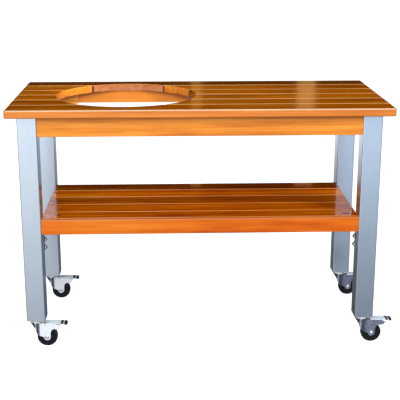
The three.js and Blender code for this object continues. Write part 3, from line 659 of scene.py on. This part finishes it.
# The ball race between the fork and the top plate: its lip, and its groove from the race's middle
RACE_ABOVE_FORK = 0.0004
RACE_BELOW_LEG = 0.0035
RACE_SEGMENTS = 48
RACE_RIM = 0.0244
RACE_LIP = ((0.0100, 0.0), (0.0228, 0.0), (RACE_RIM, 0.0012))
RACE_GROOVE = ((RACE_RIM, -0.0022), (0.0222, -0.0016), (0.0216, 0.0), (0.0222, 0.0016), (RACE_RIM, 0.0022))
BALLS = 18
BALL_RADIUS = 0.0017
BALL_RING = 0.0226
BALL_STEPS = 6
BALL_SEGMENTS = 10

# The race's shades, each with its distance from the kingpin towards the pedal: bright plating, then
# painted shade in brown and near black
RACE_PAINTED_SHADE_BANDS = ((-0.026, (0.95, 0.96, 0.98)), (0.004, (0.92, 0.93, 0.95)), (0.008, (0.72, 0.60, 0.42)),
               (0.012, (0.40, 0.26, 0.12)), (0.015, (0.030, 0.020, 0.016)), (0.026, (0.020, 0.016, 0.018)))


def bands(finish, corner, shades, start, end):
    """Shades along x, each with its distance from the kingpin."""
    leg, _ = middle_of(f"leg_{corner}")
    share = finish.spread(finish.split(finish.place)[0], leg.x + start, leg.x + end)
    return finish.ramp(share, [((at - start) / (end - start), shade) for at, shade in shades])


def race_painted_shade(corner):
    """Bright plating with painted shade, brown and then near black, towards the pedal."""
    finish = zinc(f"race_{corner}_zinc", *RACE_PLATING)
    finish.set(Base_Color=bands(finish, corner, RACE_PAINTED_SHADE_BANDS, RACE_PAINTED_SHADE_BANDS[0][0], RACE_PAINTED_SHADE_BANDS[-1][0]))
    return finish.material


def race(corner, bright, brass):
    leg, _ = middle_of(f"leg_{corner}")
    _, fork_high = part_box(f"caster_fork_{corner}")
    low = fork_high[2] + RACE_ABOVE_FORK
    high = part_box(f"leg_{corner}")[0][2] - RACE_BELOW_LEG
    middle = (low + high) / 2
    upper_lip = [(radius, high - step) for radius, step in reversed(RACE_LIP)]
    mesh = bmesh.new()
    profile = [*shifted(RACE_LIP, low), *shifted(RACE_GROOVE, middle), *upper_lip]
    turned(mesh, profile, RACE_SEGMENTS, (leg.x, leg.y, 0), "z")
    half_turn = [math.pi * step / BALL_STEPS for step in range(BALL_STEPS + 1)]
    ball = [(BALL_RADIUS * math.sin(a), -BALL_RADIUS * math.cos(a)) for a in half_turn]
    for index in range(BALLS):
        angle = 2 * math.pi * index / BALLS
        spot = Vector((leg.x + BALL_RING * math.cos(angle), leg.y + BALL_RING * math.sin(angle), middle))
        turned(mesh, ball, BALL_SEGMENTS, spot, "z", 1)
    piece_from(f"swivel_race_{corner}", mesh, [bright, brass], "table")


# The shelf brackets' bolts, by their drops below the flange, and the bracket's face beside the leg.
# Profiles start at that face
BRACKET_BOLT_DROPS = (0.027, 0.058)
BRACKET_FACE = 0.0043
BRACKET_FLANGE = 0.004
WASHER_SEGMENTS = 32
WASHER_POINTS = ((0.0030, 0.0), (0.0096, 0.0), (0.0096, 0.0019), (0.0090, 0.0025), (0.0030, 0.0025))
NUT_RADIUS = 0.0085
NUT_BASE = 0.0024
NUT_RISE = 0.0072
NUT_TIP = 0.0096
NUT_STEPS = 8


def bracket_bolts(corner, bright, dark):
    """The dark washers and rounded nuts over the bracket's plain bolts."""
    low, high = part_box(f"bracket_{corner}")
    leg_low, leg_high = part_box(f"leg_{corner}")
    inward = 1 if "left" in corner else -1
    face = (leg_high[0] if inward > 0 else leg_low[0]) + inward * BRACKET_FACE
    middle_y = (low[1] + high[1]) / 2
    quarter_turn = [math.pi / 2 * step / NUT_STEPS for step in range(NUT_STEPS)]
    dome = [(NUT_RADIUS * math.cos(a), NUT_BASE + NUT_RISE * math.sin(a)) for a in quarter_turn]
    mesh = bmesh.new()
    for drop in BRACKET_BOLT_DROPS:
        place = (face, middle_y, high[2] - BRACKET_FLANGE - drop)
        for profile, slot in ((WASHER_POINTS, 1), ([*dome, (0, NUT_TIP)], 0)):
            turned(mesh, [(r, d * inward) for r, d in profile], WASHER_SEGMENTS, place, "x", slot)
    piece_from(f"bracket_bolts_{corner}", mesh, [bright, dark], "table")


# The corner blocks' screws: their places as shares of the block's length from its free end, their rise
# above its lower edge, and the sunk head's profile
BLOCK_SCREW_SHARES = (1 / 12, 2 / 9)
BLOCK_SCREW_RISE = 0.012
BLOCK_SCREW_DEPTH = 0.009
SCREW_SEGMENTS = 20
SCREW_POINTS = ((0, 0.0012), (0.0008, 0.0003), (0.0022, 0.0), (0.0030, 0.0005), (0.0033, 0.0016),
                (0.0033, 0.0110), (0, 0.0110))


def block_screws(corner, material):
    """Sunk screw heads in the two holes of a corner block."""
    low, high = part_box(f"corner_block_{corner}")
    inward = 1 if "left" in corner else -1
    free_end = high[0] if inward > 0 else low[0]
    hole_side = low[1] if "rear" in corner else high[1]
    depth = 1 if "rear" in corner else -1
    length = high[0] - low[0]
    mesh = bmesh.new()
    for share in BLOCK_SCREW_SHARES:
        place = (free_end - inward * share * length, hole_side + depth * BLOCK_SCREW_DEPTH,
                 low[2] + BLOCK_SCREW_RISE)
        turned(mesh, [(r, d * depth) for r, d in SCREW_POINTS], SCREW_SEGMENTS, place, "y")
    piece_from(f"block_screws_{corner}", mesh, [material], "table")


# The pedal, by distances from its free end: the black tip, the slate bar around the slot, and the pad in
# the slot, which goes down from just below the blade's upper face
PEDAL_TIP = 0.0118
PEDAL_TIP_BLEND = 0.0002
PEDAL_TIP_SHADE = (0.006, 0.007, 0.009)
PEDAL_TIP_ROUGHNESS = 0.5
PEDAL_BAR_FAR = (0.0250, 0.0246)
PEDAL_BAR_NEAR = (0.0150, 0.0154)
PEDAL_BAR_SHADE = (0.030, 0.042, 0.070)
PEDAL_SLOT_FROM_TIP = (0.0152, 0.0208)
PEDAL_SLOT_HALF_WIDTH = 0.0118
PAD_DEPTH = 0.0070
PAD_SINK = 0.0002
PAD_BEVEL = 0.0008


def pedal_pad(corner, material):
    """The rubber pad pressed into the slot near the pedal's tip."""
    low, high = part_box(f"brake_pedal_{corner}")
    middle = (low[1] + high[1]) / 2
    near, far = PEDAL_SLOT_FROM_TIP
    mesh = bmesh.new()
    block(mesh, (high[0] - far, middle - PEDAL_SLOT_HALF_WIDTH, high[2] - PAD_DEPTH),
          (high[0] - near, middle + PEDAL_SLOT_HALF_WIDTH, high[2] - PAD_SINK))
    piece_from(f"pedal_pad_{corner}", mesh, [material], f"pedal_{corner}", PAD_BEVEL)


def pedal_finish(corner):
    """Bright plating with a slate bar and a black rubber tip at the pedal's free end."""
    _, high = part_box(f"brake_pedal_{corner}")
    tip = high[0]
    finish = zinc(f"pedal_{corner}_zinc", *PEDAL_PLATING)
    color = finish.shader.inputs["Base Color"].links[0].from_socket
    roughness = finish.shader.inputs["Roughness"].links[0].from_socket
    along = finish.split(finish.place)[0]
    share = finish.spread(along, tip - PEDAL_TIP - PEDAL_TIP_BLEND, tip - PEDAL_TIP + PEDAL_TIP_BLEND)
    bar = finish.times(finish.spread(along, *(tip - distance for distance in PEDAL_BAR_FAR)),
                       finish.spread(along, *(tip - distance for distance in PEDAL_BAR_NEAR)))
    color = finish.mix(bar, color, PEDAL_BAR_SHADE)
    rough_tip = finish.math("MAXIMUM", roughness, finish.times(share, PEDAL_TIP_ROUGHNESS))
    finish.set(Base_Color=finish.mix(share, color, PEDAL_TIP_SHADE), Roughness=rough_tip)
    return finish.material


# The fork's bands of painted reflection and shade, each with its distance from the kingpin: the dark
# leaf, a pale painted reflection, the nose in painted shade, then the cheek's painted reflection, bright
# at the left corners and grey at the right
FORK_START = -0.026
FORK_END = 0.054
LEAF_SHADE = (0.040, 0.050, 0.072)
FORK_PAINTED_BANDS = {
    "left": ((-0.0260, LEAF_SHADE), (-0.0090, LEAF_SHADE), (-0.0080, (0.74, 0.76, 0.86)),
             (-0.0040, (0.70, 0.74, 0.86)), (-0.0028, (0.045, 0.058, 0.085)), (0.0030, (0.060, 0.075, 0.11)),
             (0.0075, (0.22, 0.26, 0.33)), (0.0105, (0.92, 0.94, 0.98))),
    "right": ((-0.0260, LEAF_SHADE), (-0.0090, LEAF_SHADE), (-0.0080, (0.62, 0.63, 0.80)),
              (-0.0035, (0.58, 0.60, 0.76)), (-0.0022, (0.055, 0.068, 0.100)), (0.0090, (0.060, 0.075, 0.11)),
              (0.0130, (0.12, 0.14, 0.19)), (0.0200, (0.20, 0.21, 0.29))),
}
FORK_FLECK_NOISE = (330, 3, 0.6)
FORK_FLECK = (0.38, 0.62)
FORK_FLECK_TONES = {"left": (0.88, 1.0), "right": (0.35, 1.35)}


# Painted reflection and shade along the fork, one copy for the left corners and a darker one for the right
def fork_painted_reflections(corner):
    side = "left" if "left" in corner else "right"
    finish = zinc(f"fork_{corner}_zinc", *FORK_PLATING)
    color = bands(finish, corner, FORK_PAINTED_BANDS[side], FORK_START, FORK_END)
    speck = finish.noise(finish.place, *FORK_FLECK_NOISE)
    fleck = finish.spread(speck, *FORK_FLECK, *FORK_FLECK_TONES[side])
    finish.set(Base_Color=finish.dimmed(color, fleck))
    return finish.material


def add_metal():
    metal = {name: zinc(name, *look).material for name, look in METALS.items()}
    tread, pad = (rubber(name, *look) for name, look in RUBBERS.items())
    for corner in CORNERS:
        dress(f"leg_{corner}", aluminium(corner))
        dress(f"bracket_{corner}", metal["bracket_zinc"], SHEET_BEVEL)
        dress(f"caster_plate_{corner}", metal["plate_zinc"], SHEET_BEVEL)
        dress(f"caster_fork_{corner}", fork_painted_reflections(corner), FORK_BEVEL)
        dress(f"brake_pedal_{corner}", pedal_finish(corner), SHEET_BEVEL)
        wheel(corner, tread)
        axle(corner, metal["bolt_zinc"], metal["bracket_zinc"])
        race(corner, race_painted_shade(corner), metal["race_brass"])
        pedal_pad(corner, pad)
        bracket_bolts(corner, metal["nut_zinc"], metal["washer_steel"])
        block_screws(corner, metal["screw_steel"])


# The wooden parts. Each kind has a first seed, and its pieces count on from there
TOP_SEED = 1
APRON_SEED = 11
CROSS_SEED = 14
BLOCK_SEED = 19
SHELF_SEED = 24
RAIL_SEED = 31
CLEAT_SEED = 34
TOP_TONES = {"front": 0.84, "2": 0.88, "3": 1.06, "4": 1.1, "5": 1.12, "rear": 0.36}
TOP_EXTRA_TONES = {"5_left": 0.84}
# The hole's wall by plank: the fourth plank's right part and the planks not listed get painted shade
TOP_WALLS = {"rear": REAR_WALL_SHADES, "5_left": END_GRAIN_SHADES, "5_right": END_GRAIN_SHADES,
             "4_left": END_GRAIN_SHADES, "4_right": WALL_PAINTED_SHADES}
SEAM_PARTS = ("rear", "5_left")
CROSS_TONE = 0.9
# Shelf planks' tones from the front; the rear plank's low tone is painted shade under the top's shadow
SHELF_TONES_AND_REAR_SHADE = (0.87, 0.90, 0.63, 1.5, 0.42)
APRON_VARNISH = {"coat": 0.35, "coat_roughness": 0.22}
SHELF_VARNISH = {"coat_roughness": 0.06, "coat_ior": 2.2}
RAIL_VARNISH = {"coat": 0.35, "coat_roughness": 0.18}
CLEAT_VARNISH = {"coat": 0.35, "coat_roughness": 0.2}

# The two knots of the first shelf plank: distance from the plank's end and in front of its middle, radii
LEFT_KNOT = (0.052, 0.0, (0.020, 0.009))
RIGHT_KNOT = (0.040, 0.010, (0.017, 0.013))


def dress_wood(node, seed, shades, **settings):
    dress(node, wood(f"{node}_wood", seed, shades, **settings))


def add_top():
    rear_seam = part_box("top_plank_rear")[0][1]
    for seed, (key, tone) in enumerate(TOP_TONES.items(), TOP_SEED):
        whole = key in ("front", "rear")
        parts = [key] if whole else [f"{key}_left", f"{key}_right"]
        for part in parts:
            dress_wood(f"top_plank_{part}", seed, TOP_SHADES, tone=tone * TOP_EXTRA_TONES.get(part, 1.0),
                       edges=EDGE_SHADES, lip=FRONT_LIP_HIGHLIGHT if key == "front" else JOINT_LIP_HIGHLIGHT, end=PAINTED_END_SHADE,
                       wall=TOP_WALLS.get(part, WALL_PAINTED_SHADES),
                       seam=rear_seam if part in SEAM_PARTS else None)


def shelf_knots():
    low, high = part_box("shelf_plank_1")
    middle = (low[1] + high[1]) / 2
    left_in, left_front, left_radii = LEFT_KNOT
    right_in, right_front, right_radii = RIGHT_KNOT
    return (((low[0] + left_in, middle - left_front), left_radii),
            ((high[0] - right_in, middle - right_front), right_radii))


def add_wood():
    add_top()
    for seed, name in enumerate(("apron_front", "apron_rear"), APRON_SEED):
        dress_wood(name, seed, APRON_SHADES, **APRON_VARNISH)
    for seed, name in enumerate(("apron_left", "apron_right", "batten_1", "batten_2"), CROSS_SEED):
        dress_wood(name, seed, APRON_SHADES, tone=CROSS_TONE, along="y", **APRON_VARNISH)
    # The corner blocks' wood carries painted light
    for seed, corner in enumerate(CORNERS, BLOCK_SEED):
        dress_wood(f"corner_block_{corner}", seed, BLOCK_PAINTED_LIGHT_SHADES, **APRON_VARNISH)
    for index, tone in enumerate(SHELF_TONES_AND_REAR_SHADE):
        dress_wood(f"shelf_plank_{index + 1}", SHELF_SEED + index, SHELF_SHADES, tone=tone, lip=SHELF_LIP_HIGHLIGHT,
                   knots=shelf_knots() if index == 0 else (), **SHELF_VARNISH)
    for seed, name in enumerate(("shelf_rail_front", "shelf_rail_rear"), RAIL_SEED):
        dress_wood(name, seed, RAIL_SHADES, lip=RAIL_LIP_HIGHLIGHT, **RAIL_VARNISH)
    for seed, key in enumerate(("left", "middle", "right"), CLEAT_SEED):
        dress_wood(f"shelf_cleat_{key}", seed, SHELF_SHADES, along="y", **CLEAT_VARNISH)


# Stage
def add_floor():
    half = FLOOR_SIZE / 2
    mesh = bpy.data.meshes.new("floor")
    corners = [(-half, -half, 0), (half, -half, 0), (half, half, 0), (-half, half, 0)]
    mesh.from_pydata(corners, [], [(0, 1, 2, 3)])
    floor = bpy.data.objects.new("floor", mesh)
    bpy.context.scene.collection.objects.link(floor)
    floor.visible_diffuse = False
    floor.visible_glossy = False
    finish = Finish("floor")
    finish.set(Base_Color=(*FLOOR_COLOR, 1), Roughness=FLOOR_ROUGHNESS, Emission_Strength=FLOOR_GLOW,
               Emission_Color=(1, 1, 1, 1), Specular_IOR_Level=0.0)
    mesh.materials.append(finish.material)


# The surroundings, by direction: x to the right, y to the rear and z up. Each pair is where a share
# starts and ends, followed by the values there unless they are 0 and 1
DOME_BY_Z = (0.42, 0.85, 0.0, 0.75)
FRONT_BY_Y = (-0.25, -0.85)
WALL_BY_HEIGHT = (-0.6, 0.2)
WALL_GLOW = ((0.0, 0.03), (0.14, 0.11), (0.266, 0.38), (0.3875, 0.78), (0.52, 1.17), (0.75, 1.22),
             (1.0, 0.60))
WALL_POWER_BY_X = (-0.12, 0.20, 1.0, 1.9)
WALL_SIDE_BY_X = (-0.12, 0.22, 1.0, 0.68)
REAR_BY_Y = (0.3, 0.7)
REAR_BY_HEIGHT = (-0.40, -0.10)
REAR_GLOW = ((0.0, 0.02), (0.2, 0.03), (0.45, 0.12), (0.58, 0.28), (0.68, 0.60), (0.85, 1.10))
REAR_POWER_BY_X = (-0.12, 0.12, 1.25, 0.65)
REAR_SIDE_BY_X = (-0.12, 0.12, 1.80, 0.60)
REAR_ONLY_BELOW_Z = (0.04, -0.04)
GROUND_BY_Z = (-0.48, -0.75, 0.0, 0.45)
HAZE_BY_Z = (0.0, -0.3, 0.0, 0.06)
TINT_BY_X = (-0.20, 0.25)
LEFT_TINT = (0.91, 0.96, 1.0)
RIGHT_TINT = (0.69, 0.85, 1.04)


def add_world():
    """A studio to be mirrored: a bright wall in front of the table, which fades downwards and to the
    right, a lower band behind the table, and a dome above."""
    world = bpy.data.worlds.new("studio")
    bpy.context.scene.world = world
    world.use_nodes = True
    nodes = Nodes(world.node_tree)
    x, y, z = nodes.split(nodes.add("ShaderNodeTexCoord").outputs["Generated"])
    dome = nodes.spread(z, *DOME_BY_Z)
    front = nodes.spread(y, *FRONT_BY_Y)
    height = nodes.grey_ramp(nodes.spread(z, *WALL_BY_HEIGHT), WALL_GLOW)
    height = nodes.math("POWER", height, nodes.spread(x, *WALL_POWER_BY_X))
    wall = nodes.times(nodes.times(front, nodes.spread(x, *WALL_SIDE_BY_X)), height)
    rise = nodes.grey_ramp(nodes.spread(z, *REAR_BY_HEIGHT), REAR_GLOW)
    rise = nodes.math("POWER", rise, nodes.spread(x, *REAR_POWER_BY_X))
    behind = nodes.times(nodes.spread(y, *REAR_BY_Y), rise)
    behind = nodes.times(behind, nodes.spread(x, *REAR_SIDE_BY_X))
    behind = nodes.times(behind, nodes.spread(z, *REAR_ONLY_BELOW_Z))
    below = nodes.plus(nodes.spread(z, *GROUND_BY_Z), behind)
    below = nodes.plus(nodes.spread(z, *HAZE_BY_Z), below)
    strength = nodes.plus(nodes.plus(dome, wall), below)
    background = world.node_tree.nodes["Background"]
    nodes.link(nodes.mix(nodes.spread(x, *TINT_BY_X), LEFT_TINT, RIGHT_TINT), background.inputs["Color"])
    nodes.link(strength, background.inputs["Strength"])


# Lights: place, target, watts and color, then the width and height of an area or the degrees of a spot
TABLE_MIDDLE = (0, 0, 0.6)
KEY = ((-2.2, -4.6, 3.7), TABLE_MIDDLE, 68, (1.0, 0.99, 0.96), (2.2, 2.0))
FILL = ((3.4, -3.6, 3.3), TABLE_MIDDLE, 130, (1.0, 0.99, 0.97), (2.0, 2.0))
FRONT = ((-0.3, -6.3, 2.8), TABLE_MIDDLE, 165, (1.0, 0.99, 0.98), (1.8, 1.4))
HOLE_LIGHT = ((0.90, -0.70, 2.0), (-0.54, 0.18, 0.865), 85, (1.0, 0.98, 0.94), 10)
HOLE_LIGHT_SOFTNESS = 0.04
STREAK_WIDE = ((1.565, 8.0, 2.1), (0.4, 0, 0.9), 0.43, (1.0, 0.57, 0.20), (0.22, 0.95))
STREAK_NARROW = ((0.205, 8.0, 2.1), (0.1, 0, 0.9), 0.17, (1.0, 0.52, 0.13), (0.12, 0.95))


def add_light(name, kind, place, target, power, color):
    data = bpy.data.lights.new(name, kind)
    data.energy = power
    data.color = color
    light = bpy.data.objects.new(name, data)
    bpy.context.scene.collection.objects.link(light)
    light.location = place
    light.rotation_euler = (Vector(target) - Vector(place)).to_track_quat("-Z", "Y").to_euler()
    return light


def add_area(name, place, target, power, color, size):
    light = add_light(name, "AREA", place, target, power, color)
    light.data.shape = "RECTANGLE"
    light.data.size, light.data.size_y = size
    return light


def add_spot(name, place, target, power, color, degrees):
    light = add_light(name, "SPOT", place, target, power, color)
    light.data.spot_size = math.radians(degrees)
    light.data.spot_blend = 1.0
    light.data.shadow_soft_size = HOLE_LIGHT_SOFTNESS
    light.visible_glossy = False


def add_lights():
    add_area("key", *KEY)
    add_area("fill", *FILL)
    front = add_area("front", *FRONT)
    front.visible_glossy = False
    add_spot("hole_light", *HOLE_LIGHT)
    add_area("streak_wide", *STREAK_WIDE)
    add_area("streak_narrow", *STREAK_NARROW)


add_camera()
add_floor()
add_world()
add_lights()
add_wood()
add_metal()
bpy.context.scene.view_settings.view_transform = "Standard"
